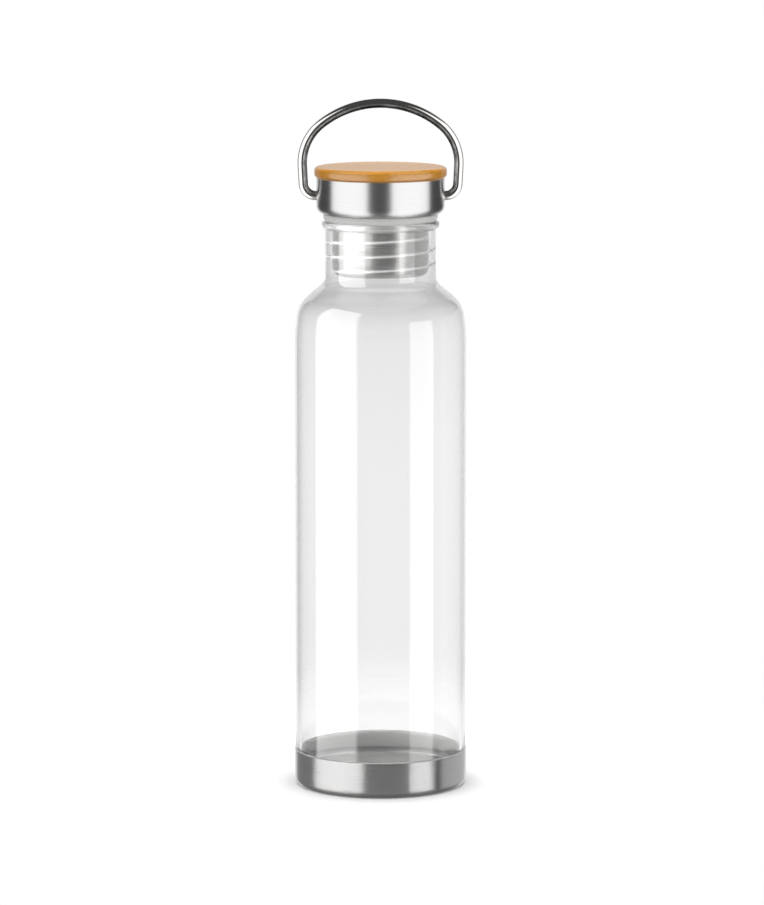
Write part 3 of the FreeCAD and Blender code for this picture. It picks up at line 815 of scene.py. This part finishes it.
# The surround is white where it is seen straight through the glass, and it lights dull surfaces
# evenly. In reflections it is dark grey above and lighter towards the floor.
SEEN = 1.0
DULL = 0.85
MIRRORED = 0.07
MIRRORED_LOW = 0.16
IN_GLASS_FRONT = 0.25
IN_GLASS_BACK = 0.82
world = bpy.data.worlds.new("studio_surround")
world.use_nodes = True
bpy.context.scene.world = world
tree = world.node_tree
background = tree.nodes["Background"]
path = node(tree, "ShaderNodeLightPath")
bounces = node(tree, "ShaderNodeMath", {0: path.outputs["Ray Depth"],
                                        1: path.outputs["Transmission Depth"]},
               operation="SUBTRACT")
turned_back = node(tree, "ShaderNodeMath", {0: bounces.outputs["Value"]}, {1: 1.5},
                   operation="GREATER_THAN")
through = node(tree, "ShaderNodeMath", {0: path.outputs["Transmission Depth"]}, {1: 0.5},
               operation="GREATER_THAN")
place = node(tree, "ShaderNodeTexCoord")
height = node(tree, "ShaderNodeSeparateXYZ", {"Vector": place.outputs["Generated"]})
lower = node(tree, "ShaderNodeMapRange", {"Value": height.outputs["Z"]},
             {"From Min": -0.2, "From Max": -0.6, "To Min": MIRRORED, "To Max": MIRRORED_LOW})
in_glass = node(tree, "ShaderNodeMapRange", {"Value": height.outputs["Y"]},
                {"From Min": -0.6, "From Max": 0.1, "To Min": IN_GLASS_FRONT,
                 "To Max": IN_GLASS_BACK}, interpolation_type="SMOOTHSTEP")
mirrored = node(tree, "ShaderNodeMix", {"Factor": through.outputs["Value"],
                                        "A": lower.outputs["Result"],
                                        "B": in_glass.outputs["Result"]})
reflected = node(tree, "ShaderNodeMix", {"Factor": path.outputs["Is Diffuse Ray"],
                                         "A": mirrored.outputs["Result"]}, {"B": DULL})
level = node(tree, "ShaderNodeMix", {"Factor": turned_back.outputs["Value"],
                                     "B": reflected.outputs["Result"]}, {"A": SEEN})
tree.links.new(level.outputs["Result"], background.inputs["Strength"])
background.inputs["Color"].default_value = (1, 1, 1, 1)


EDGE = 0.1              # share of a light's width over which it fades out


def soft_light(name, from_angle, to_angle, low_z, high_z, radiance, lit, distance=1.2,
               inside_glass=False):
    """A rectangular soft light that faces the bottle and fills a range of directions.

    The angles are in degrees from the camera's side, positive to the right. The width is
    2 * distance * tan(half the range). An area light of power P and area A shines with
    radiance P / (pi * A); here it falls off smoothly over the outer EDGE of its width, as a
    softbox does. It lights only the pieces in the collection lit, and isn't seen itself, not
    even through the glass. inside_glass is for steel behind the glass: a reflection traced
    back through the glass would miss the unseen light, so its share comes from the light alone.
    """
    data = bpy.data.lights.new(name, "AREA")
    data.shape = "RECTANGLE"
    half = math.radians(to_angle - from_angle) / 2
    data.size, data.size_y = 2 * distance * math.tan(half), high_z - low_z
    data.energy = radiance * math.pi * data.size * data.size_y
    data.cycles.use_multiple_importance_sampling = not inside_glass
    data.use_nodes = True
    tree = data.node_tree
    place = node(tree, "ShaderNodeNewGeometry")
    across = node(tree, "ShaderNodeSeparateXYZ", {"Vector": place.outputs["Parametric"]})
    offset = node(tree, "ShaderNodeMath", {0: across.outputs["X"]}, {1: 0.5},
                  operation="SUBTRACT")
    middle = node(tree, "ShaderNodeMath", {0: offset.outputs["Value"]}, operation="ABSOLUTE")
    fall = node(tree, "ShaderNodeMapRange", {"Value": middle.outputs["Value"]},
                {"From Min": 0.5 - EDGE, "From Max": 0.5, "To Min": 1.0, "To Max": 0.25},
                interpolation_type="SMOOTHSTEP")
    tree.links.new(fall.outputs["Result"], tree.nodes["Emission"].inputs["Strength"])
    lamp = bpy.data.objects.new(name, data)
    a = math.radians(from_angle + to_angle) / 2
    lamp.location = (distance * math.sin(a), -distance * math.cos(a), (low_z + high_z) / 2)
    lamp.rotation_euler = (math.radians(90), 0, a)
    lamp.visible_camera = False
    lamp.visible_transmission = False
    lamp.light_linking.receiver_collection = lit
    bpy.context.scene.collection.objects.link(lamp)
    return lamp


def lit_group(name, objects):
    """A collection that lists the pieces which a light reaches."""
    group = bpy.data.collections.new(name)
    for obj in objects:
        group.objects.link(obj)
    return group


# Every light reaches only the pieces that it is set up for, as if each was exposed on its own.
lid_pieces = [shell, gasket, handle]
body_pieces = [cup, cushion, bond]
hidden_pieces = [frame["nodes"][name] for name in ("plug_liner", "lid_core", "bamboo_bond")]
upper = lit_group("lid_lit", lid_pieces)
lower = lit_group("body_lit", body_pieces + [bottle])
all_but_bamboo = lit_group("all_but_bamboo_lit", lid_pieces + body_pieces + [bottle, plug])
glass_lit = lit_group("glass_lit", [bottle])
bamboo_lit = lit_group("bamboo_lit", [bamboo])
foam_lit = lit_group("foam_lit", [cushion])
base_lit = lit_group("base_lit", body_pieces)
paper_lit = lit_group("paper_lit", [floor])
plug_lit = lit_group("plug_lit", [plug])
handle_lit = lit_group("handle_lit", [handle])
cup_lit = lit_group("cup_lit", [cup])
steel_inside = lit_group("steel_inside_lit", body_pieces + [plug] + hidden_pieces)
soft_light("left_softbox", -101, -21, -3.2, 1.6, 1.7, upper)
soft_light("left_softbox_on_glass", -98, -30, -1.0, 1.6, 6.5, glass_lit)
soft_light("left_softbox_inside", -101, -21, -0.6, 1.6, 1.8, steel_inside, inside_glass=True)
soft_light("right_softbox", 17, 100, -3.2, 1.6, 1.7, upper)
soft_light("right_strip_on_glass", 38, 76, -1.0, 0.45, 4.4, glass_lit)
soft_light("right_strip_on_base", 38, 76, -0.6, 1.6, 1.6, base_lit, inside_glass=True)
soft_light("right_strip_on_plug", 38, 62, -1.0, 1.0, 1.4, plug_lit, inside_glass=True)
soft_light("right_card", 86, 152, -0.6, 0.45, 0.6, lower)
soft_light("left_card", -150, -101, -0.6, 0.45, 0.2, lower)
soft_light("left_card_on_handle", -150, -101, -1.0, 1.6, 0.35, handle_lit)
soft_light("right_card_on_handle", 100, 150, -1.0, 1.6, 0.35, handle_lit)
soft_light("front_card", -22, 38, -1.0, -0.03, 0.3, lower)
soft_light("white_backdrop", 150, 210, -0.8, 1.6, 1.0, all_but_bamboo, 1.5)
for side, from_angle, to_angle in (("left", -101, -21), ("right", 17, 100)):
    for low_z, high_z in ((-3.2, 0.3), (0.9, 1.6)):
        soft_light(side + "_softbox_on_bamboo", from_angle, to_angle, low_z, high_z, 1.7,
                   bamboo_lit)
    # No reflection in the flat top of the bamboo from the height between the two.
    between = soft_light(side + "_light_on_bamboo", from_angle, to_angle, 0.3, 0.9, 1.7,
                         bamboo_lit)
    between.visible_glossy = False
soft_light("bamboo_backdrop", 150, 210, -0.8, 1.6, 0.55, bamboo_lit, 1.5)


def flat_light(name, side, place, facing, radiance, lit):
    """A square soft light of a given side in metres; facing turns it about X in degrees."""
    lamp = soft_light(name, 0, 60, 0.0, side, radiance, lit)
    lamp.data.size = side
    lamp.data.energy = radiance * math.pi * side * side
    lamp.location = place
    lamp.rotation_euler = (math.radians(facing), 0, 0)
    return lamp


OVERHEAD = (0, 0, 1.4)
above = flat_light("overhead_on_bamboo", 1.3, OVERHEAD, 0, 7.6, bamboo_lit)
above.visible_glossy = False
flat_light("overhead_on_paper", 1.6, OVERHEAD, 0, 1.3, paper_lit)
flat_light("overhead_on_glass", 1.6, OVERHEAD, 0, 1.0, glass_lit)
flat_light("paper_under_handle", 1.2, (0, 0, 0.02), 180, 0.3, handle_lit)
well = flat_light("overhead_on_foam", 1.3, OVERHEAD, 0, 0.8, foam_lit)
well.light_linking.blocker_collection = foam_lit
# Light that bounces about inside the cup, thrown forwards and back from its middle.
for facing in (90, -90):
    flat_light("glow_in_cup", 0.05, (0, 0, 0.045), facing, 1.3, cup_lit)

# Camera. A long lens 2 m in front of the bottle, above the lid and tilted down at its middle.
TILT = 7.985
camera_data = bpy.data.cameras.new("camera")
camera_data.lens = 190
camera_data.sensor_width = 36
camera_data.clip_end = 20
camera = bpy.data.objects.new("camera", camera_data)
camera.location = (0.0006, -1.9966, 0.42166)
camera.rotation_euler = (math.radians(90 - TILT), 0, 0)
bpy.context.scene.collection.objects.link(camera)
bpy.context.scene.camera = camera
bpy.context.scene.view_settings.view_transform = "Standard"
